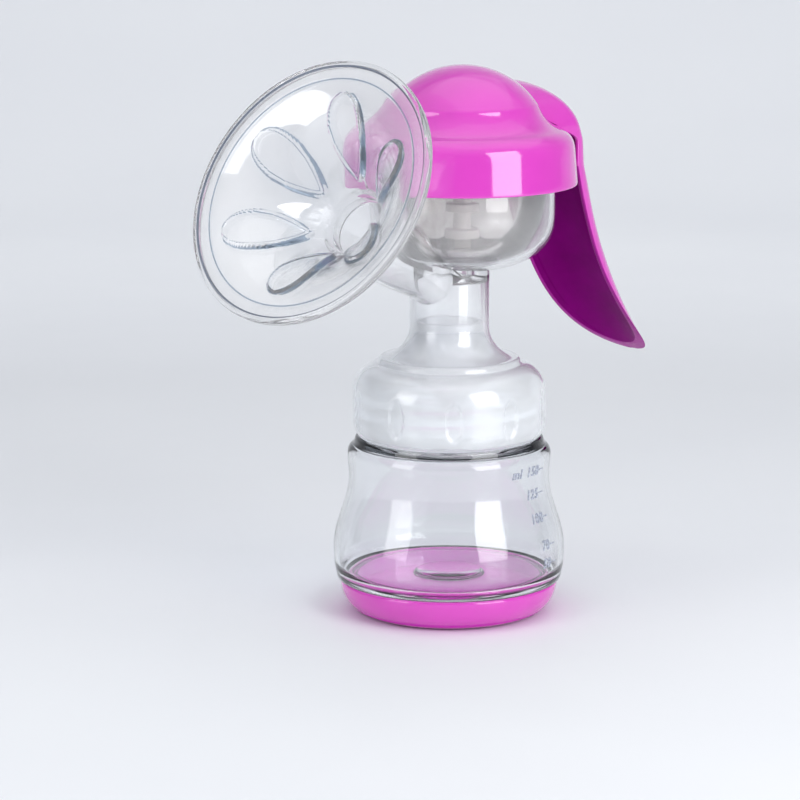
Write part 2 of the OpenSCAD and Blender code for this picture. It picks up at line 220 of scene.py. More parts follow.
def combine(base, others, operation):
    """Boolean of base with each of the others, which are removed."""
    for other in others:
        modifier = base.modifiers.new("cut", "BOOLEAN")
        modifier.operation, modifier.object, modifier.solver = operation, other, "EXACT"
    bpy.context.view_layer.update()
    apply_modifiers(base)
    for other in others:
        bpy.data.objects.remove(other)
    return base


def helix(name, root, crest, z0, pitch, turns, half=1.1, segments=96):
    """A thread rib of one start with run-out ends, on (crest > root) or in (crest < root) a wall."""
    count = int(segments * turns)
    vertices, faces = [], []
    for i in range(count + 1):
        a = 2 * math.pi * i / segments
        fade = float(step(min(i, count - i) / (segments * 0.12)))
        top = root + (crest - root) * (0.06 + 0.94 * fade)
        z = z0 + pitch * i / segments
        for r, dz in ((root, -half), (top, -half * 0.4), (top, half * 0.4), (root, half)):
            vertices.append((r * math.cos(a), r * math.sin(a), z + dz))
    for i in range(count):
        for k in range(4):
            m = (k + 1) % 4
            faces.append([4 * i + k, 4 * i + 4 + k, 4 * i + 4 + m, 4 * i + m])
    faces += [[0, 1, 2, 3], [4 * count + 3, 4 * count + 2, 4 * count + 1, 4 * count]]
    return make_object(name, vertices, faces, 50)


# ---- materials ----

class Nodes:
    """A material's node tree, with short ways to add and link nodes."""

    def __init__(self, name):
        self.material = bpy.data.materials.new(name)
        self.material.use_nodes = True
        self.tree = self.material.node_tree
        self.tree.nodes.clear()

    def add(self, kind, **settings):
        node = self.tree.nodes.new(kind)
        for key, value in settings.items():
            if key in node.inputs:
                node.inputs[key].default_value = value
            else:
                setattr(node, key, value)
        return node

    def link(self, source, output, target, entry):
        self.tree.links.new(source.outputs[output], target.inputs[entry])

    def place(self, scale=1.0):
        """Object coordinates, times scale."""
        where = self.add("ShaderNodeTexCoord")
        mapping = self.add("ShaderNodeMapping")
        mapping.inputs["Scale"].default_value = (scale, scale, scale)
        self.link(where, "Object", mapping, "Vector")
        return mapping

    def noise(self, size_mm, detail=3.0, rough=0.5):
        """Noise whose features are about size_mm across."""
        node = self.add("ShaderNodeTexNoise", Scale=1000.0 / size_mm, Detail=detail, Roughness=rough)
        self.link(self.place(), "Vector", node, "Vector")
        return node

    def spread(self, source, output, low, high, from_low=0.3, from_high=0.7):
        """Maps a value from one range to another."""
        node = self.add("ShaderNodeMapRange")
        limits = (("From Min", from_low), ("From Max", from_high), ("To Min", low), ("To Max", high))
        for key, value in limits:
            node.inputs[key].default_value = value
        self.link(source, output, node, "Value")
        return node

    def two_colours(self, source, output, first, second):
        """A colour that goes from first to second with a value from 0.3 to 0.7."""
        ramp = self.add("ShaderNodeValToRGB")
        ramp.color_ramp.elements[0].position, ramp.color_ramp.elements[0].color = 0.3, (*first, 1)
        ramp.color_ramp.elements[1].position, ramp.color_ramp.elements[1].color = 0.7, (*second, 1)
        self.link(source, output, ramp, "Fac")
        return ramp

    def bumps(self, layers):
        """Bump from several (size in mm, height in mm) noises."""
        last = None
        for size, height in layers:
            bump = self.add("ShaderNodeBump", Strength=1.0, Distance=height * MM)
            self.link(self.noise(size, 2.0), "Fac", bump, "Height")
            if last:
                self.link(last, "Normal", bump, "Normal")
            last = bump
        return last

    def finish(self, shader, output="BSDF"):
        end = self.add("ShaderNodeOutputMaterial")
        self.link(shader, output, end, "Surface")
        return self.material

    def finish_clear(self, shader, let_through=(1, 1, 1)):
        """Ends a clear material, which lets lamp light through instead of casting a black shadow."""
        path = self.add("ShaderNodeLightPath")
        through = self.add("ShaderNodeBsdfTransparent", Color=(*let_through, 1))
        mix = self.add("ShaderNodeMixShader")
        self.link(path, "Is Shadow Ray", mix, "Fac")
        self.tree.links.new(shader.outputs[0], mix.inputs[1])
        self.tree.links.new(through.outputs[0], mix.inputs[2])
        return self.finish(mix, "Shader")


def moulded_plastic(name, colour, deep, gloss=0.09):
    """Opaque glossy moulded plastic: faint flow lines in its colour, orange peel and fine scuffs."""
    n = Nodes(name)
    shader = n.add("ShaderNodeBsdfPrincipled")
    shader.inputs["IOR"].default_value = 1.52
    shader.inputs["Specular IOR Level"].default_value = 0.62
    shader.inputs["Coat Weight"].default_value = 0.6
    shader.inputs["Coat Roughness"].default_value = 0.035
    shader.inputs["Coat IOR"].default_value = 1.6
    shader.inputs["Subsurface Weight"].default_value = 0.06
    shader.inputs["Subsurface Radius"].default_value = (0.9, 0.35, 0.7)
    shader.inputs["Subsurface Scale"].default_value = 0.002
    colours = n.two_colours(n.noise(22, 4.0, 0.6), "Fac", colour, deep)
    n.link(colours, "Color", shader, "Base Color")
    n.link(n.spread(n.noise(1.3, 5.0, 0.7), "Fac", gloss * 0.7, gloss * 1.7), "Result", shader, "Roughness")
    n.link(n.bumps([(9.0, 0.02), (0.7, 0.0012)]), "Normal", shader, "Normal")
    return n.finish(shader)


def matte_plastic(name, colour, deep, shine):
    """The matte inner faces of the magenta mouldings; for the handle's hollow and lips its dark colours are
    painted shade.
    """
    n = Nodes(name)
    shader = n.add("ShaderNodeBsdfPrincipled")
    shader.inputs["IOR"].default_value = 1.45
    shader.inputs["Specular IOR Level"].default_value = shine
    n.link(n.two_colours(n.noise(16, 4.0, 0.6), "Fac", colour, deep), "Color", shader, "Base Color")
    n.link(n.spread(n.noise(1.5, 4.0), "Fac", 0.3, 0.45), "Result", shader, "Roughness")
    n.link(n.bumps([(8.0, 0.02), (0.8, 0.002)]), "Normal", shader, "Normal")
    return n.finish(shader)


def clear_plastic(name, tint, ior, rough, peel=0.02):
    """Clear moulded plastic: polished, with slight waves from the mould and a haze that varies."""
    n = Nodes(name)
    shader = n.add("ShaderNodeBsdfPrincipled")
    shader.inputs["IOR"].default_value = ior
    shader.inputs["Transmission Weight"].default_value = 1.0
    colours = n.two_colours(n.noise(18, 3.0), "Fac", tint, tuple(min(1, c * 1.02) for c in tint))
    n.link(colours, "Color", shader, "Base Color")
    n.link(n.spread(n.noise(6.0, 4.0), "Fac", rough * 0.4, rough * 1.6), "Result", shader, "Roughness")
    n.link(n.bumps([(14.0, peel), (3.0, peel * 0.05)]), "Normal", shader, "Normal")
    return n.finish_clear(shader, tint)


def body_plastic(name):
    """The pump body's plastic: clear at the bowl and flange, milky in the thick screw collar below."""
    n = Nodes(name)
    where = n.add("ShaderNodeTexCoord")
    split = n.add("ShaderNodeSeparateXYZ")
    n.link(where, "Object", split, "Vector")
    low = n.spread(split, "Z", 1.0, 0.0, 0.086, 0.120)
    funnel = n.spread(split, "X", 0.3, 0.0, -0.048, -0.030)
    both = n.add("ShaderNodeMath", operation="MAXIMUM")
    n.link(low, "Result", both, 0)
    n.link(funnel, "Result", both, 1)
    milk = n.add("ShaderNodeMath", operation="MAXIMUM")
    n.link(both, "Value", milk, 0)
    milk.inputs[1].default_value = 0.1
    shader = n.add("ShaderNodeBsdfPrincipled")
    shader.inputs["IOR"].default_value = 1.49
    shader.inputs["Coat Weight"].default_value = 0.6
    shader.inputs["Coat Roughness"].default_value = 0.03
    shader.inputs["Coat IOR"].default_value = 1.55
    colours = n.two_colours(milk, "Value", (0.975, 0.975, 0.98), (0.90, 0.915, 0.93))
    n.link(colours, "Color", shader, "Base Color")
    n.link(n.spread(milk, "Value", 0.98, 0.58, 0.0, 1.0), "Result", shader, "Transmission Weight")
    frost = n.spread(low, "Result", 0.03, 0.09, 0.0, 1.0)
    vary = n.add("ShaderNodeMath", operation="MULTIPLY")
    n.link(frost, "Result", vary, 0)
    n.link(n.spread(n.noise(5.0, 4.0), "Fac", 0.75, 1.25), "Result", vary, 1)
    n.link(vary, "Value", shader, "Roughness")
    n.link(n.bumps([(13.0, 0.03), (2.5, 0.0012)]), "Normal", shader, "Normal")
    return n.finish_clear(shader, (0.84, 0.86, 0.89))


def silicone(name, tint, clearness, rough, peel=0.012):
    """Soft silicone: clear to milky, with a satin haze and fine dimples."""
    n = Nodes(name)
    shader = n.add("ShaderNodeBsdfPrincipled")
    shader.inputs["IOR"].default_value = 1.41
    shader.inputs["Transmission Weight"].default_value = clearness
    shader.inputs["Sheen Weight"].default_value = 0.05
    colours = n.two_colours(n.noise(15, 3.0), "Fac", tint, tuple(c * 0.97 for c in tint))
    n.link(colours, "Color", shader, "Base Color")
    n.link(n.spread(n.noise(4.0, 4.0), "Fac", rough * 0.6, rough * 1.5), "Result", shader, "Roughness")
    n.link(n.bumps([(10.0, peel), (1.2, peel * 0.06)]), "Normal", shader, "Normal")
    return n.finish_clear(shader, tuple(c * 0.88 for c in tint))


def soft_skin(name, tint, milk, rough):
    """Thin milky silicone: see-through, with scattered light on both faces and a satin gloss."""
    n = Nodes(name)
    colours = n.two_colours(n.noise(12, 3.0), "Fac", tint, tuple(c * 0.96 for c in tint))
    lit, glow = n.add("ShaderNodeBsdfDiffuse"), n.add("ShaderNodeBsdfTranslucent")
    for part in (lit, glow):
        n.link(colours, "Color", part, "Color")
    scatter = n.add("ShaderNodeMixShader", Fac=0.45)
    n.tree.links.new(lit.outputs[0], scatter.inputs[1])
    n.tree.links.new(glow.outputs[0], scatter.inputs[2])
    through = n.add("ShaderNodeBsdfTransparent", Color=(*(0.5 + 0.5 * c for c in tint), 1))
    body = n.add("ShaderNodeMixShader")
    n.link(n.spread(n.noise(7, 4.0), "Fac", milk * 0.85, milk * 1.15), "Result", body, "Fac")
    n.tree.links.new(through.outputs[0], body.inputs[1])
    n.tree.links.new(scatter.outputs[0], body.inputs[2])
    gloss = n.add("ShaderNodeBsdfGlossy")
    n.link(n.spread(n.noise(4, 4.0), "Fac", rough * 0.7, rough * 1.4), "Result", gloss, "Roughness")
    bump = n.bumps([(9.0, 0.015), (1.2, 0.001)])
    n.link(bump, "Normal", gloss, "Normal")
    n.link(bump, "Normal", lit, "Normal")
    edge = n.add("ShaderNodeFresnel", IOR=1.38)
    end = n.add("ShaderNodeMixShader")
    n.link(edge, "Fac", end, "Fac")
    n.tree.links.new(body.outputs[0], end.inputs[1])
    n.tree.links.new(gloss.outputs[0], end.inputs[2])
    return n.finish(end, "Shader")


def white_plastic(name):
    """Satin white moulded plastic."""
    n = Nodes(name)
    shader = n.add("ShaderNodeBsdfPrincipled")
    shader.inputs["Subsurface Weight"].default_value = 0.15
    shader.inputs["Subsurface Radius"].default_value = (1, 0.9, 0.85)
    shader.inputs["Subsurface Scale"].default_value = 0.002
    colours = n.two_colours(n.noise(8, 3.0), "Fac", (0.86, 0.84, 0.83), (0.82, 0.8, 0.8))
    n.link(colours, "Color", shader, "Base Color")
    n.link(n.spread(n.noise(1.0, 4.0), "Fac", 0.22, 0.36), "Result", shader, "Roughness")
    n.link(n.bumps([(1.5, 0.003)]), "Normal", shader, "Normal")
    return n.finish(shader)


def ground_steel(name):
    """Ground steel pin, with fine rings of grinding marks along Y."""
    n = Nodes(name)
    shader = n.add("ShaderNodeBsdfPrincipled")
    shader.inputs["Metallic"].default_value = 1.0
    marks = n.add("ShaderNodeTexWave", Scale=900.0, Distortion=3.0, Detail=3.0, bands_direction="Y")
    n.link(n.place(), "Vector", marks, "Vector")
    colours = n.two_colours(marks, "Fac", (0.6, 0.6, 0.62), (0.74, 0.74, 0.75))
    n.link(colours, "Color", shader, "Base Color")
    n.link(n.spread(marks, "Fac", 0.2, 0.34, 0.0, 1.0), "Result", shader, "Roughness")
    bump = n.add("ShaderNodeBump", Strength=0.4, Distance=0.00001)
    n.link(marks, "Fac", bump, "Height")
    n.link(bump, "Normal", shader, "Normal")
    return n.finish(shader)


def scale_relief_painted_shade(name):
    """Raised numerals of the scale: frosted plastic whose grey-blue tone is painted shade for the dark edges
    of the clear relief.
    """
    n = Nodes(name)
    shader = n.add("ShaderNodeBsdfPrincipled")
    shader.inputs["Transmission Weight"].default_value = 0.35
    shader.inputs["IOR"].default_value = 1.49
    colours = n.two_colours(n.noise(1.2, 3.0), "Fac", (0.42, 0.45, 0.53), (0.52, 0.55, 0.63))
    n.link(colours, "Color", shader, "Base Color")
    n.link(n.spread(n.noise(0.8, 3.0), "Fac", 0.18, 0.35), "Result", shader, "Roughness")
    n.link(n.bumps([(0.6, 0.004)]), "Normal", shader, "Normal")
    return n.finish_clear(shader, (0.7, 0.73, 0.8))


MAGENTA = moulded_plastic("magenta", (0.70, 0.05, 0.52), (0.65, 0.042, 0.485))
MAGENTA_SEAT = matte_plastic("magenta_seat", (0.66, 0.006, 0.52), (0.58, 0.004, 0.46), 0.15)
# painted shade: a dark copy of the magenta for the handle's hollow, standing in for the shade inside it
MAGENTA_PAINTED_SHADE = matte_plastic("magenta_painted_shade", (0.24, 0.001, 0.19), (0.18, 0.001, 0.14), 0.03)
# painted shade: a mid-dark copy of the magenta that darkens the grip's lips below the hinge
MAGENTA_LIP_PAINTED_SHADE = matte_plastic("magenta_lip_painted_shade", (0.40, 0.012, 0.31), (0.34, 0.01, 0.26), 0.2)
BOTTLE_CLEAR = clear_plastic("bottle_clear", (0.965, 0.975, 0.985), 1.49, 0.03)
BODY_CLEAR = body_plastic("body_clear")
CUSHION_CLEAR = silicone("cushion_clear", (0.965, 0.967, 0.97), 0.95, 0.035)
MILKY = soft_skin("milky_silicone", (0.9, 0.9, 0.925), 0.45, 0.2)
DIAPHRAGM = soft_skin("diaphragm_silicone", (0.98, 0.95, 0.92), 0.16, 0.12)
WHITE = white_plastic("white_plastic")
STEEL = ground_steel("ground_steel")
# painted shade: the raised numerals' grey-blue tone stands in for the dark edges of clear relief; they are
# not ink
RELIEF_PAINTED_SHADE = scale_relief_painted_shade("scale_marks")
# painted shade: dark tints for the lines of the clear cushion's lip groove, petal edges, inner ring and
# throat
CUSHION_RIM_PAINTED_SHADE = silicone("cushion_rim_painted_shade", (0.10, 0.12, 0.17), 0.6, 0.06)
CUSHION_EDGE_PAINTED_SHADE = silicone("cushion_edge_painted_shade", (0.26, 0.34, 0.44), 0.72, 0.06)


def own(piece, material, body, slot, *nodes):
    """Gives a piece its material and its body, and hides the CAD nodes it stands for; slot is not used."""
    piece.data.materials.clear()
    piece.data.materials.append(material)
    if body:
        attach(piece, body)
    if nodes:
        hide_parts(*nodes)
    return piece


def second_material(piece, material, chosen):
    """Gives one more material to the faces that chosen(centre in mm, normal) picks."""
    piece.data.materials.append(material)
    for polygon in piece.data.polygons:
        if chosen(polygon.center / MM, polygon.normal):
            polygon.material_index = len(piece.data.materials) - 1


# ---- base cup ----

def base_cup():
    foot, ring, floor = 28.0, 34.0, 2.0
    side = arc(foot, CUP_H - 0.7, CUP_R - foot, CUP_H - 0.7, -84, 0, 22)
    rim = bend((CUP_R, CUP_H - 0.7), (CUP_R, CUP_H), (CUP_R - 0.7, CUP_H), 5)
    inner = bend((ring + 0.7, CUP_H), (ring, CUP_H), (ring, CUP_H - 0.7), 5)
    seat = [(ring, 5.2, 0.5), (ring - 1.4, 5.0, 0.5), (ring - 1.6, 4.0, 0.6)]
    basin = bend((ring - 2.0, 3.4), (ring - 4.0, floor), (26.0, floor), 8) + [(25.5, floor), (7.2, floor)]
    pip = bend((6.5, floor), (5.5, floor), (5.0, floor + 0.5), 3) + [(4.5, floor + 0.6), (0, floor + 0.6)]
    outline = [(0, 0), (foot - 1.5, 0)] + side + rim + inner + seat + basin + pip
    shell = own(turned("base_cup_shell", outline, 224), MAGENTA, "bottle", "magenta_plastic", "base_cup")

    def in_the_seat(centre, _normal):
        return 1.5 < centre.z < CUP_H - 1 and math.hypot(centre.x, centre.y) < ring + 0.2

    second_material(shell, MAGENTA_SEAT, in_the_seat)


# ---- bottle ----

WAIST_Z, WAIST_R = 47.5, 34.4
BELLY_Z = 22.0
SHOULDER_Z, SHOULDER_R = 55.0, 34.8
NECK_R = 27.8
THREAD_PITCH = 5.0


def bottle_r(z):
    """Outer radius of the bottle's side at height z."""
    if z < BELLY_Z:
        return BELLY_R - 1.5 * ((BELLY_Z - z) / (BELLY_Z - CUP_H)) ** 2
    if z < WAIST_Z:
        return ease(BELLY_R, WAIST_R, (z - BELLY_Z) / (WAIST_Z - BELLY_Z))
    return ease(WAIST_R, SHOULDER_R, (z - WAIST_Z) / (SHOULDER_Z - WAIST_Z))


def bottle():
    wall, floor = 1.8, 13.0
    side = [(bottle_r(z), z) for z in np.linspace(CUP_H + 1.6, SHOULDER_Z, 64)]
    inside = [(bottle_r(z) - wall, z) for z in np.linspace(SHOULDER_Z, 18.0, 56)]
    start = bottle_r(CUP_H + 1.6)
    outline = [(0, 10.6), (10.5, 10.6)] + bend((10.5, 10.6), (11.5, 10.6), (12.0, 11.0), 4)
    outline += [(12.5, 11.0), (30.8, 11.0)]
    outline += [(32.1, 11.0, 1.0), (32.2, 5.6, 0.8), (33.7, 5.6, 0.8), (33.7, 11.3, 0.3)]
    outline += bend((CUP_R - 0.6, 11.3), (start - 0.3, 11.3), (start, CUP_H + 1.6), 6) + side
    outline += bend((34.8, 55.3), (34.8, 57.0), (33.6, 57.9), 6)
    outline += bend((33.3, 58.1), (32.9, 58.4), (32.6, 59.0), 4)
    outline += bend((32.4, 59.6), (32.2, 61.2), (31.0, 61.5), 5)
    outline += [(NECK_R, 61.6, 0.4), (NECK_R, MOUTH_Z, 0.7), (NECK_R - 2, MOUTH_Z, 0.7), (NECK_R - 2, 60.4)]
    outline += bend((NECK_R - 2, 60.4), (NECK_R - 1.6, 59.4), (29.0, 58.6), 6)
    outline += bend((29.4, 58.5), (32.9, 58.2), (33.0, 55.4), 8) + inside
    outline += bend((bottle_r(17.5) - wall, 17.5), (36.8, floor), (33.0, floor), 12)
    outline += [(32.4, floor), (12.6, floor)] + bend((12.0, floor), (11.6, floor), (11.3, floor + 0.35), 3)
    outline += bend((11.2, floor + 0.45), (10.4, floor + 0.9), (6.0, floor + 1.0), 6) + [(0, floor + 1.0)]
    shell = turned("bottle_shell", outline, 256)
    own(shell, BOTTLE_CLEAR, "bottle", "clear_plastic", "bottle")
    rib = helix("bottle_thread", NECK_R - 0.2, NECK_R + 1.4, 65.5, THREAD_PITCH, 2.0)
    own(rib, BOTTLE_CLEAR, "bottle", "clear_plastic")


SCALE_MARKS = (("150", 52.6), ("125", 44.6), ("100", 36.5), ("70", 27.3), ("50", 21.1))


def scale_marks():
    """Raised numbers and ticks of the millilitre scale, laid on the bottle's side."""
    letter, raised, right_edge, narrow = 4.6, 0.13, -82.0, 0.88
    parts = [(text, z, right_edge) for text, z in SCALE_MARKS]
    parts.append(("ml", SCALE_MARKS[0][1], right_edge - 15.0))
    meshes = []
    for text, z, edge in parts:
        curve = bpy.data.curves.new("numeral", "FONT")
        curve.body, curve.size, curve.align_x, curve.shear = text, letter, "RIGHT", 0.22
        curve.extrude, curve.bevel_depth, curve.resolution_u = 0.12, 0.07, 4
        curve.offset, curve.space_character = 0.02, 1.15
        meshes.append((curve_points(curve), z - 1.4, math.radians(edge)))
    for text, z in SCALE_MARKS:
        meshes.append((tick_points(3.0, 0.45), z, math.radians(right_edge + 1.6)))
    vertices, faces = [], []
    for (points, polygons), z, edge in meshes:
        base = len(vertices)
        for x, y, h in points:
            height = z + y
            radius = bottle_r(height)
            a = edge + x * narrow / radius
            r = radius + h + raised
            vertices.append((r * math.cos(a), r * math.sin(a), height))
        faces += [[base + i for i in polygon] for polygon in polygons]
    marks = make_object("scale_marks", vertices, faces, 40)
    own(marks, RELIEF_PAINTED_SHADE, "bottle", "clear_plastic")


def curve_points(curve):
    """Points and polygons of a text curve, which is then removed."""
    helper = bpy.data.objects.new("helper", curve)
    bpy.context.scene.collection.objects.link(helper)
    mesh = bpy.data.meshes.new_from_object(helper.evaluated_get(bpy.context.evaluated_depsgraph_get()))
    points = [tuple(v.co) for v in mesh.vertices]
    polygons = [list(p.vertices) for p in mesh.polygons]
    bpy.data.objects.remove(helper)
    bpy.data.meshes.remove(mesh)
    return points, polygons


def tick_points(length, width):
    """A small bar with bevelled top edges."""
    low = [(0, -width), (length, -width), (length, width), (0, width)]
    half = 0.5
    points = [(x, y * half, -0.2) for x, y in low]
    points += [(min(max(x, 0.08), length - 0.08), y * half * 0.7, 0.14) for x, y in low]
    polygons = [[3, 2, 1, 0], [4, 5, 6, 7]]
    polygons += [[i, (i + 1) % 4, 4 + (i + 1) % 4, 4 + i] for i in range(4)]
    return points, polygons


# ---- pump body ----

COLLAR_R, COLLAR_Z = 33.0, 62.2
TUBE_R, BORE_R = 13.6, 11.6
BOWL_R, BOWL_Z, BOWL_SIDE, RIM_R, RIM_Z = 31.6, 117.8, 138.0, 35.8, 151.5
BODY_WALL = 1.9
DIMPLES = 10


def collar_warp(_k, angle, radius, height):
    """Oval finger dimples around the collar."""
    if radius < COLLAR_R - 2.5 or height < COLLAR_Z + 1 or height > 83:
        return radius, height
    spacing = 2 * math.pi / DIMPLES
    offset = (angle + math.radians(140.8) - spacing * 0.06 + spacing / 2) % spacing - spacing / 2
    across = offset * COLLAR_R / 2.9
    along = (height - 71.5) / 6.8
    reach = math.sqrt(across ** 2 + along ** 2)
    return radius - 0.75 * float(step((1.12 - reach) / 0.32)), height


def collar_outside():
    edge = COLLAR_R - 10
    outline = [(0, COLLAR_Z), (28, COLLAR_Z)]
    low = math.degrees(math.asin((67.3 - COLLAR_Z) / 10))
    outline += arc(edge, 67.3, 10, 10, -low, -3, 16)
    outline += [(COLLAR_R, z) for z in np.linspace(67.3, 76.6, 30)]
    outline += arc(edge, 76.6, 10, 10, 3, 76, 26)
    outline += [(24.6, 86.5, 0.4), (24.2, 87.9, 0.5), (23.4, 88.5, 0.4)]
    outline += arc(24.5, 99.3, 24.5 - TUBE_R, 24.5 - TUBE_R, 258, 180, 18)
    outline += [(TUBE_R, z) for z in (104, 110, 116)] + [(TUBE_R, 122), (0, 122)]
    return turned("pump_body_shell", outline, 320, collar_warp)


def collar_inside():
    inner = 30.0
    outline = [(0, COLLAR_Z - 1), (inner + 0.6, COLLAR_Z - 1), (inner, COLLAR_Z + 0.4)]
    outline += arc(23.8, 77.8, inner - 23.8, 6.2, 0, 88, 14)
    outline += [(22.4, 84.6, 0.4), (22.2, 86.2, 0.4)]
    outline += arc(24.5, 99.3, 24.5 - BORE_R, 24.5 - BORE_R, 259, 180, 14)
    outline += [(BORE_R, 115.2, 1.0), (6, 116.6, 0.8), (6, 124)] + [(0, 124)]
    return turned("collar_inside", outline, 192)


def bowl_outside():
    side = shifted(squircle(BOWL_R, BOWL_SIDE - BOWL_Z, 2.6, 30), 0, BOWL_SIDE)
    outline = [(0, RIM_Z)] + [(RIM_R, RIM_Z, 0.4), (RIM_R, RIM_Z - 2.9, 0.6), (BOWL_R, RIM_Z - 2.9, 0.5)]
    return place(turned("bowl_outside", outline + side, 224), ON_HEAD)


def bowl_inside():
    inner = BOWL_R - BODY_WALL
    side = shifted(squircle(inner, BOWL_SIDE - BOWL_Z - BODY_WALL, 2.6, 28), 0, BOWL_SIDE)
    return place(turned("bowl_inside", [(0, RIM_Z + 1), (inner, RIM_Z + 1)] + side, 192), ON_HEAD)


THROAT_R, BELL_R, BELL_DEPTH, BELL_POWER = 9.9, 45.0, 29.0, 2.2
CUSHION_WALL, FUNNEL_WALL, SKIN_GAP = 1.6, 1.8, 0.12


def bell_point(u, behind):
    """Radius and height at share u, from throat to rim, of a surface behind the cushion's front."""
    slope = BELL_DEPTH * BELL_POWER / (BELL_R - THROAT_R) * max(1 - u, 0.0) ** (BELL_POWER - 1)
    length = math.hypot(1, slope)
    radius = THROAT_R + (BELL_R - THROAT_R) * u
    depth = BELL_DEPTH * max(1 - u, 0.0) ** BELL_POWER
    return radius + behind * slope / length, -depth - behind / length


def bell(behind, u0, u1, n=48):
    return [bell_point(u0 + (u1 - u0) * i / n, behind) for i in range(n + 1)]


def funnel_outside():
    back = CUSHION_WALL + SKIN_GAP + FUNNEL_WALL
    outline = [(0, -FLANGE_S), (9, -FLANGE_S), (9.4, 15.7 - FLANGE_S)]
    outline += bend((9.6, 18 - FLANGE_S), (12.6, 34 - FLANGE_S), bell_point(0.03, back), 12)
    outline += bell(back, 0.04, 0.975)
    rim_r, rim_z = bell_point(0.985, back)
    outline += bend((rim_r - 0.3, rim_z), (rim_r, rim_z), (rim_r, rim_z + 0.4), 4)
    outline += [(rim_r, rim_z + 3), (0, rim_z + 3)]
    return place(turned("funnel_outside", outline, 256), ON_FLANGE)


def funnel_inside():
    front = CUSHION_WALL + SKIN_GAP
    outline = [(0, -FLANGE_S), (7.2, -FLANGE_S), (7.6, 15.7 - FLANGE_S)]
    outline += bend((7.8, 18 - FLANGE_S), (11.0, 34 - FLANGE_S), (THROAT_R + front, -BELL_DEPTH - 4.2), 12)
    outline += bell(front, 0, 1) + [(BELL_R + 2, bell_point(1, front)[1]), (BELL_R + 2, 8), (0, 8)]
    return place(turned("funnel_inside", outline, 256), ON_FLANGE)


PUMP_NODES = ("pump_collar", "pump_tube", "pump_bowl", "pump_funnel")


def pump_body():
    shell = combine(collar_outside(), [bowl_outside(), funnel_outside()], "UNION")
    combine(shell, [collar_inside(), bowl_inside(), funnel_inside()], "DIFFERENCE")
    own(shell, BODY_CLEAR, "pump_head", "milky_plastic", *PUMP_NODES)
    rib = helix("collar_thread", 30.2, 28.6, 68.0, THREAD_PITCH, 1.5)
    own(rib, BODY_CLEAR, "pump_head", "milky_plastic")


# ---- breast cushion ----

PETALS = 6
PETAL_IN, PETAL_OUT, PETAL_HALF, PETAL_H = 13.6, 35.6, 7.5, 1.25
PETAL_WIDEST = 0.54  # share of the petal's length from its tip


def petal_depth(x, y):
    """How far the point (x, y), with x along a petal's axis, lies inside its egg-shaped outline."""
    along = (x - PETAL_IN) / (PETAL_OUT - PETAL_IN)
    if not 0 < along < 1:
        return -math.hypot(min(x - PETAL_IN, 0.0) + max(x - PETAL_OUT, 0.0), y)
    if along < PETAL_WIDEST:
        half = math.sin(math.pi / 2 * along / PETAL_WIDEST) ** 0.62
        slope = 1.2 * math.cos(math.pi / 2 * along / PETAL_WIDEST)
    else:
        far = (along - PETAL_WIDEST) / (1 - PETAL_WIDEST)
        half = math.sqrt(max(1 - far ** 2.3, 0.0))
        slope = 0.9 * far ** 1.3 / max(half, 0.12)
    return (PETAL_HALF * half - abs(y)) / math.hypot(1, PETAL_HALF * slope / 11)


RIM_LINES = (44.15, 39.9)


def petal_inside(angle, radius):
    """How far a point of the bell lies inside the nearest petal, and its place along and across it."""
    spacing = 2 * math.pi / PETALS
    offset = (angle + spacing / 2) % spacing - spacing / 2
    x, y = radius * math.cos(offset), radius * math.sin(offset)
    return petal_depth(x, y), x, y


def cushion_front(angle, radius, height):
    """Raises the petals, the ribs from their tips to the throat and the throat's ring, and cuts two rings."""
    inside, x, y = petal_inside(angle, radius)
    lift = PETAL_H * float(step((inside + 0.4) / 0.95))
    lift += 0.5 * math.exp(-((inside - 0.9) / 0.5) ** 2)
    lift += 0.5 * math.exp(-((radius - THROAT_R - 1.3) / 0.7) ** 2)
    rib = step((1.9 - abs(y)) / 0.5) * step((PETAL_IN + 2.5 - x) / 1.5) * step((radius - THROAT_R) / 1.2)
    lift = max(lift, 0.3 * float(rib))
    for ring in RIM_LINES:
        lift -= 0.22 * math.exp(-((radius - ring) / 0.35) ** 2)
    u = (radius - THROAT_R) / (BELL_R - THROAT_R)
    slope = BELL_DEPTH * BELL_POWER / (BELL_R - THROAT_R) * max(1 - u, 0.0) ** (BELL_POWER - 1)
    length = math.hypot(1, slope)
    return radius - lift * slope / length, height + lift / length


def cushion_line_painted_shade(centre, _normal):
    """True for faces of the cushion's front on a petal's double edge, on the inner ring or at the throat,
    which get painted shade as dark lines.
    """
    local = ON_FLANGE_INVERSE @ centre
    radius, angle = math.hypot(local.x, local.y), math.atan2(local.y, local.x)
    depth = -BELL_DEPTH * max(1 - (radius - THROAT_R) / (BELL_R - THROAT_R), 0.0) ** BELL_POWER
    if radius > BELL_R - 0.3 or local.z < depth - 0.5:
        return False
    inside = petal_inside(angle, radius)[0]
    on_petal = -0.4 < inside < 0.3 or 1.35 < inside < 1.6
    return on_petal or abs(radius - RIM_LINES[1]) < 0.2 or radius < THROAT_R + 0.4


def rim_groove_painted_shade(centre, _normal):
    """True for the faces of the groove just inside the cushion's lip, which get painted shade as a dark line.
    """
    local = ON_FLANGE_INVERSE @ centre
    return abs(math.hypot(local.x, local.y) - RIM_LINES[0]) < 0.36 and -1.2 < local.z < 0.9


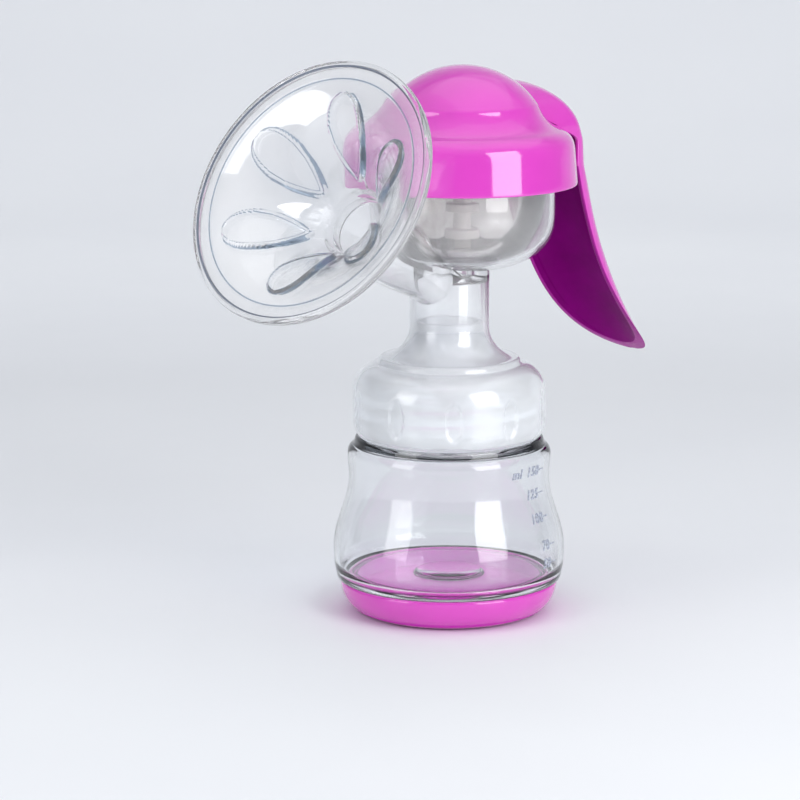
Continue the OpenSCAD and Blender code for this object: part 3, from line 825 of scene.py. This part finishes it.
def breast_cushion():
    lip_r, lip_in = 46.2, 44.63
    front = bell(0, 0.02, 0.955, 130)
    count = len(front)

    def warp(k, angle, radius, height):
        return cushion_front(angle, radius, height) if k < count else (radius, height)

    outline = list(front) + bend(bell_point(0.965, 0), (BELL_R - 0.9, 0.0), (BELL_R - 0.6, 0.45), 5)
    outline += arc(BELL_R + 0.28, 0.2 - 0.72, 0.92, 0.92, 118, -20, 14)
    outline += bend((lip_r, -1.1), (lip_r, -2.4), (lip_r - 0.8, -2.4), 5)
    outline += [(lip_in, -2.4, 0.2), (lip_in, -1.66, 0.2)]
    outline += bell(CUSHION_WALL, 0.985, 0, 44)
    outline += [(THROAT_R + CUSHION_WALL, -BELL_DEPTH - 4, 0.5), (THROAT_R, -BELL_DEPTH - 4, 0.5)]
    shell = place(turned("breast_cushion_skin", outline, 432, warp), ON_FLANGE)
    own(shell, CUSHION_CLEAR, "pump_head", "clear_silicone", "breast_cushion")
    # painted shade: dark lines on the petal edges, the inner ring, the throat and the lip's groove of the
    # clear cushion
    second_material(shell, CUSHION_EDGE_PAINTED_SHADE, cushion_line_painted_shade)
    second_material(shell, CUSHION_RIM_PAINTED_SHADE, rim_groove_painted_shade)


# ---- milk valve, diaphragm, stem ----

def milk_valve():
    plug_r, wall = 11.52, 1.7
    outline = [(plug_r, 85, 0.3), (plug_r, 101, 0.6), (plug_r - wall, 101, 0.6), (plug_r - wall, 83.2, 0.4)]
    outline += [(19, 83, 0.4), (19, 85, 0.4)]
    plug = turned("milk_valve_plug", outline, 128)
    own(plug, MILKY, "valve", "milky_silicone", "milk_valve")
    rings, segments = 14, 64
    vertices, faces = [], []
    for off in (0.0, 1.2):
        for i in range(rings + 1):
            t = i / rings
            wide = ease(11.0, 5.6, t) - off
            thick = (11.0 - off) * (1 - t) ** 0.9 + (0.75 if off == 0 else 0.12) * t
            for j in range(segments):
                a = 2 * math.pi * j / segments
                vertices.append((thick * math.cos(a), wide * math.sin(a), 83.1 - 15.6 * t))
    half = (rings + 1) * segments
    for i in range(rings):
        for j in range(segments):
            m = (j + 1) % segments
            a, b, c, d = i * segments + j, i * segments + m, (i + 1) * segments + m, (i + 1) * segments + j
            faces += [[a, b, c, d], [half + d, half + c, half + b, half + a]]
    for ring in (0, rings * segments):
        for j in range(segments):
            m = (j + 1) % segments
            faces.append([ring + j, ring + m, half + ring + m, half + ring + j])
    bill = make_object("milk_valve_bill", vertices, faces)
    own(bill, MILKY, "valve", "milky_silicone")


FLOOR_Z, SKIN = 122.6, 1.2


def diaphragm():
    top = RIM_Z + 1.4
    outline = [(0, FLOOR_Z), (17.5, FLOOR_Z)]
    outline += bend((18.0, FLOOR_Z + 0.05), (22.5, FLOOR_Z + 0.3), (24.6, 128.6), 12)
    outline += bend((25.0, 129.6), (28.2, 136.5), (28.5, 146), 14)
    outline += [(28.6, RIM_Z, 0.4), (RIM_R - 0.4, RIM_Z, 0.2)]
    outline += [(RIM_R - 0.4, top, 0.4), (28.6 - SKIN, top, 0.5)]
    outline += bend((28.5 - SKIN, 146), (27, 136.5), (23.7, 130.2), 14)
    outline += bend((23.4, 129.4), (21.4, FLOOR_Z + 1.6), (17.5, FLOOR_Z + SKIN), 12)
    outline += [(7.5, FLOOR_Z + SKIN, 0.5), (7.3, 128, 0.4), (4.1, 128, 0.2), (4.1, 124.2)] + [(0, 124.2)]
    skin = place(turned("diaphragm_skin", outline, 160), ON_HEAD)
    own(skin, DIAPHRAGM, None, "milky_silicone", "diaphragm")
    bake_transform(skin)


def stem():
    shaft, head, lift = 3.1, 6.5, PIVOT[1] + 2.7
    outline = [(0, 124.3), (4, 124.3, 0.3), (4, 128.1), (6, 128.1, 0.5), (6, 131.4, 0.6), (shaft, 131.6, 0.4)]
    outline += [(shaft, 138, 0.4), (5.7, 138, 0.5), (5.7, 141.1, 0.5), (shaft, 141.1, 0.4)]
    outline += [(shaft, lift), (head, lift, 0.4), (head, lift + 2.4, 1.4), (0, lift + 2.4)]
    rod = place(turned("stem_rod", outline, 96), ON_HEAD)
    own(rod, WHITE, "stem", "white_plastic", "stem")


# ---- cap ----

CAP_R, CAP_WALL, DOME_R, DOME_Z = 39.0, 2.2, 31.0, 156.3
DOME_FROM = 36.6  # the dome's arc starts this many degrees above level


def cap_outline(off):
    """The cap's surface from its lower edge to its top, moved in by off."""
    skirt = bend((CAP_R - off, CAP_LOW + 0.9), (CAP_R - 0.5 - off, 154), (CAP_R - 0.9 - off, 159.0), 10)
    turn = (CAP_R - 1.5 - off, 164.4 - off * 0.6)
    shoulder = bend((CAP_R - 1.0 - off, 159.6), turn, (32.6 - off, 165.9 - off), 16)
    hollow = (27.6 - off * 0.8, 168.2 - off)
    neck = bend((32.0 - off, 166.15 - off), hollow, (25.4 - off, 174.2 - off * 0.7), 18)
    dome = arc(0, DOME_Z, DOME_R - off, DOME_R - off, DOME_FROM, 90, 30)
    return skirt + shoulder + neck + dome


def cap():
    outer = cap_outline(0)
    inner = cap_outline(CAP_WALL)[::-1]
    inner_low = inner[-1][0]
    rim = [(inner_low, CAP_LOW, 0.4), (CAP_R, CAP_LOW, 0.8)]
    outer[-1], inner[0] = (0, outer[-1][1]), (0, inner[0][1])
    shell = place(turned("cap_shell", inner + rim + outer, 256), ON_HEAD)
    slot = plate("slot", [(31, CAP_LOW - 2), (56, CAP_LOW - 2), (56, 168.6), (31, 168.6)], 12.8, 0)
    combine(shell, [slot], "DIFFERENCE")
    own(shell, MAGENTA, "pump_head", "magenta_plastic", "cap")
    outline = [(PIVOT[0] + 6.5, PIVOT[1] - 4.2), (PIVOT[0] + 6.5, PIVOT[1] + 3.0), (PIVOT[0], PIVOT[1] + 4.2)]
    outline += arc(PIVOT[0], PIVOT[1], 4.2, 4.2, 95, 270, 20)
    for side, name in ((-1, "left"), (1, "right")):
        ear = plate("cap_ear_" + name, outline, 2.4, 0.3, y=7.65 * side)
        own(ear, MAGENTA, "pump_head", "magenta_plastic")


# ---- handle ----

GRIP_AT, GRIP_R, GRIP_D, GRIP_W = (213.4, 192.6), 167.7, 10.8, 16.2
HEAD_Z, CROWN_AT, CROWN_R = 163.6, (31.2, 149.9), 30.3
TIP_X, TIP_Z, TIP_ROW_Z, LIP_TURN_Z = 110.5, 74.8, 75.75, 121.0
HANDLE_WALL, LIP_WALL, HEAD_ROUND = 1.8, 1.2, 9.2


def grip_x(z, off):
    """X of the grip's long curve at height z, off behind its lips."""
    return GRIP_AT[0] - math.sqrt((GRIP_R - off) ** 2 - (GRIP_AT[1] - z) ** 2)


LIP_TO_TIP = bend((grip_x(LIP_TURN_Z, 0), LIP_TURN_Z), (76.4, 91.0), (TIP_X, TIP_Z), 60)[::-1]


def handle_front(z, half):
    """X of the handle's lips at height z, where it is half wide: above the hinge they hug the cap."""
    if z < LIP_TURN_Z:
        return float(np.interp(z, [p[1] for p in LIP_TO_TIP], [p[0] for p in LIP_TO_TIP]))
    straight = grip_x(min(z, 150.0), 0)
    if z < 158.5:
        return straight
    line = cap_outline(0)
    around = float(np.interp(z, [p[1] for p in line], [p[0] for p in line])) + 1.1
    return ease(straight, HEAD_X + math.sqrt(max(around ** 2 - half ** 2, 1.0)), (z - 158.5) / 6.0)


def handle_back(z, off):
    """X of the handle's back at height z, moved in by off."""
    crown = CROWN_AT[0] + math.sqrt(max((CROWN_R - off) ** 2 - max(z - CROWN_AT[1], 0.0) ** 2, 0.01))
    share = float(step((z - 143) / 13))
    return grip_x(min(z, 156), GRIP_D - off) * (1 - share) + crown * share


def handle_rows(off):
    """Height and half width of each row of the handle's sheet, its sides moved in by off."""
    half = GRIP_W - off
    low = [TIP_ROW_Z + (LIP_TURN_Z - TIP_ROW_Z) * (i / 64) ** 1.4 for i in range(64)]
    rows = [(z, half) for z in low + list(np.linspace(LIP_TURN_Z, HEAD_Z, 56))]
    turns = [math.pi / 2 * i / 44 for i in range(1, 45)]
    return rows + [(HEAD_Z + half * math.sin(a), half * max(math.cos(a), 0.0)) for a in turns]


def handle_sheet(off, side_off, columns=80):
    """Rows of points of the handle's outer sheet, or of its inner one moved in by off."""
    sheet = []
    for z, half in handle_rows(side_off):
        front = handle_front(z, half)
        back = max(handle_back(z, off), front + 0.02)
        round_depth = min(back - front, HEAD_ROUND - off)
        if z < LIP_TURN_Z:
            round_depth = back - grip_x(z, 0)
        elif z < 158:
            round_depth = back - front
        straight = max(back - front - round_depth, 0.0)
        cut_share = max(1 - (back - front) / round_depth, 0.0)
        power = 2.0 + 0.3 * float(step((z - 120) / 30))
        reach = math.pi / 2 - math.asin(min(cut_share, 1.0) ** (power / 2))
        curved = 1.57 * math.sqrt((round_depth ** 2 + half ** 2) / 2)
        share = curved / (curved + straight)
        row = []
        for j in range(columns + 1):
            t = abs(-1 + 2 * j / columns)
            ridge = 1 - 0.02 * float(step((t - 0.8) / 0.05)) if off else 1.0
            if t > share:
                x, y = front + straight * (1 - t) / (1 - share), half
            else:
                a = math.pi / 2 - t / share * reach
                x = back - round_depth + round_depth * math.sin(a) ** (2 / power)
                y = half * max(math.cos(a), 0.0) ** (2 / power)
            row.append((x, y * ridge * (1 if 2 * j > columns else -1), z))
        sheet.append(row)
    return sheet


def handle_shell():
    """The hollow handle: an outer and an inner sheet, joined by rounded lips."""
    outer, inner = handle_sheet(0, 0), handle_sheet(HANDLE_WALL, LIP_WALL)
    vertices, faces = [], []
    rows = []
    for out, inn in zip(outer, inner):
        left, right = [], []
        for lip, a, b in ((left, inn[0], out[0]), (right, out[-1], inn[-1])):
            a, b = Vector(a), Vector(b)
            rise = Vector((-0.3 * min((a - b).length / LIP_WALL, 1.0), 0, 0))
            for share, bulge in ((0.15, 0.7), (0.5, 1), (0.85, 0.7)):
                lip.append(tuple(a.lerp(b, share) + rise * bulge))
        ring = left + out + right + inn[::-1]
        rows.append(range(len(vertices), len(vertices) + len(ring)))
        vertices += ring
    around = len(rows[0])
    for low, high in zip(rows, rows[1:]):
        faces += [[low[j], low[(j + 1) % around], high[(j + 1) % around], high[j]] for j in range(around)]
    faces.append(list(rows[0])[::-1])
    return make_object("handle_shell", vertices, faces, 60)


def handle_hollow_painted_shade(centre, normal):
    """True for faces of the handle's hollow, whose normals look towards its middle; these get a painted
    shade.
    """
    if centre.z > HEAD_Z:
        return normal.dot(Vector((34, 0, 158)) - centre) > 0 and normal.x < 0.2
    middle = Vector((handle_front(centre.z, GRIP_W) - 3, 0, centre.z))
    return normal.dot(middle - centre) > 0 and abs(normal.z) < 0.99 and normal.x < 0.6 and not is_lip(centre)


def is_lip(centre):
    return centre.x < handle_front(centre.z, GRIP_W) + 0.05


def low_lip_painted_shade(centre, normal):
    """True for faces of the grip's lips, below the hinge, which get a painted mid shade."""
    return centre.z < 150 and is_lip(centre) and not handle_hollow_painted_shade(centre, normal)


def handle():
    shell = own(handle_shell(), MAGENTA, "handle", "magenta_plastic", "handle")
    # painted shade: the hollow gets a dark magenta and the lips below the hinge a mid one, though the plastic
    # itself is one magenta
    second_material(shell, MAGENTA_PAINTED_SHADE, handle_hollow_painted_shade)
    second_material(shell, MAGENTA_LIP_PAINTED_SHADE, low_lip_painted_shade)
    px, pz = PIVOT
    fork = [(px, pz - 4), (px, pz + 4), (33, pz + 3.4), (17, pz + 2.2)]
    fork += arc(HEAD_X, pz, 2.4, 2.3, 90, 270, 14) + [(17, pz - 2.2), (33, pz - 3.4)]
    for side, name in ((-1, "left"), (1, "right")):
        prong = plate("handle_prong_" + name, fork, 2.3, 0.4, y=4.85 * side)
        own(prong, MAGENTA, "handle", "magenta_plastic")
    web = [(17, pz - 2.2), (33, pz - 3.4), (41, pz - 3.3), (46, pz - 3.2), (52, 154.2), (60.4, 149.8)]
    web += [(59.6, 158.0), (50, 163.5)]
    web += [(44, 164.2), (px, pz + 4), (17, pz + 2.2)]
    own(plate("handle_rib", web, 7.2, 0.4), MAGENTA, "handle", "magenta_plastic")
    hub = plate("handle_hub", arc(px, pz, 4.1, 4.1, 0, 354, 48), 12.0, 0.4)
    own(hub, MAGENTA, "handle", "magenta_plastic")


def hinge_pin():
    pin = frame["nodes"]["hinge_pin"]
    pin.data.materials.clear()
    pin.data.materials.append(STEEL)


# ---- stage ----

VIEW_AZ, VIEW_EL, VIEW_AWAY = math.radians(-50.8), math.radians(11.28), 1.164
TARGET = Vector((-0.0266, 0.0, 0.0772))
BACK = Vector((
    math.sin(VIEW_AZ) * math.cos(VIEW_EL), -math.cos(VIEW_AZ) * math.cos(VIEW_EL), math.sin(VIEW_EL)
))
RIGHT = Vector((math.cos(VIEW_AZ), math.sin(VIEW_AZ), 0.0))


def from_view(turn, rise, away):
    """A place around the object, turn degrees right of the camera and rise degrees up."""
    level = Vector((BACK.x, BACK.y, 0)).normalized()
    a, e = math.radians(turn), math.radians(rise)
    way = (level * math.cos(a) + RIGHT * math.sin(a)) * math.cos(e) + Vector((0, 0, math.sin(e)))
    return Vector((0, 0, 0.1)) + way * away


def look_at(thing, target):
    thing.rotation_euler = (target - thing.location).to_track_quat("-Z", "Y").to_euler()


def softbox(name, turn, rise, away, wide, tall, watts, tint=(1, 1, 1)):
    light = bpy.data.lights.new(name, "AREA")
    light.shape, light.size, light.size_y, light.energy, light.color = "RECTANGLE", wide, tall, watts, tint
    made = bpy.data.objects.new(name, light)
    bpy.context.scene.collection.objects.link(made)
    made.location = from_view(turn, rise, away)
    look_at(made, Vector((0, 0, 0.1)))


def wash(name, turn, rise, away, watts):
    """A light behind the object that brightens only the backdrop."""
    light = bpy.data.lights.new(name, "AREA")
    light.shape, light.size, light.size_y, light.energy = "RECTANGLE", 1.6, 0.3, watts
    made = bpy.data.objects.new(name, light)
    bpy.context.scene.collection.objects.link(made)
    made.location = from_view(turn, rise, away)
    look_at(made, from_view(turn, 18, 1.5))


def backdrop():
    """Pale floor that curves up behind the object."""
    level = Vector((BACK.x, BACK.y, 0)).normalized()
    front, far, curve, top, half_wide = 2.4, -0.9, 0.6, 2.4, 2.2
    profile = [(front, 0.0), (far, 0.0)]
    for degrees in range(6, 91, 6):
        a = math.radians(degrees)
        profile.append((far - curve * math.sin(a), curve - curve * math.cos(a)))
    profile.append((far - curve, top))
    corners = [(d, side, z) for d, z in profile for side in (-half_wide, half_wide)]
    vertices = [tuple(level * d + RIGHT * side + Vector((0, 0, z))) for d, side, z in corners]
    faces = [[2 * i, 2 * i + 1, 2 * i + 3, 2 * i + 2] for i in range(len(profile) - 1)]
    floor = make_object("floor", [tuple(c / MM for c in v) for v in vertices], faces, 60)
    n = Nodes("floor_paper")
    shader = n.add("ShaderNodeBsdfPrincipled")
    shader.inputs["Specular IOR Level"].default_value = 0.2
    colours = n.two_colours(n.noise(300, 2.0), "Fac", (0.80, 0.82, 0.85), (0.83, 0.85, 0.875))
    n.link(colours, "Color", shader, "Base Color")
    n.link(n.spread(n.noise(40), "Fac", 0.5, 0.65), "Result", shader, "Roughness")
    floor.data.materials.append(n.finish(shader))


def world():
    sky = bpy.data.worlds.new("studio")
    bpy.context.scene.world = sky
    sky.use_nodes = True
    tree = sky.node_tree
    where = tree.nodes.new("ShaderNodeTexCoord")
    split = tree.nodes.new("ShaderNodeSeparateXYZ")
    ramp = tree.nodes.new("ShaderNodeValToRGB")
    tree.links.new(where.outputs["Generated"], split.inputs[0])
    tree.links.new(split.outputs["Z"], ramp.inputs["Fac"])
    tree.links.new(ramp.outputs["Color"], tree.nodes["Background"].inputs["Color"])
    ramp.color_ramp.elements[0].color = (0.27, 0.28, 0.33, 1)
    ramp.color_ramp.elements[1].color = (1, 1, 1, 1)
    middle = ramp.color_ramp.elements.new(0.45)
    middle.color = (0.36, 0.37, 0.41, 1)
    tree.nodes["Background"].inputs["Strength"].default_value = 0.95


def camera():
    lens = bpy.data.cameras.new("camera")
    lens.sensor_width, lens.lens = 36.0, 36.0 * 2.978 * VIEW_AWAY * 1000 / 800
    lens.clip_end = 20
    made = bpy.data.objects.new("camera", lens)
    bpy.context.scene.collection.objects.link(made)
    made.location = TARGET + BACK * VIEW_AWAY
    look_at(made, TARGET)
    bpy.context.scene.camera = made


base_cup()
bottle()
scale_marks()
pump_body()
breast_cushion()
milk_valve()
diaphragm()
stem()
cap()
handle()
hinge_pin()
backdrop()
world()
camera()
softbox("window_right", 44, 18, 0.85, 0.48, 0.72, 5.0)
softbox("window_left", -55, 18, 0.85, 0.40, 0.72, 2.4)
softbox("top", 120, 75, 1.1, 1.3, 1.3, 1.5)
wash("wall_wash", 180, 50, 0.75, 3.2)
bpy.context.scene.view_settings.view_transform = "Standard"
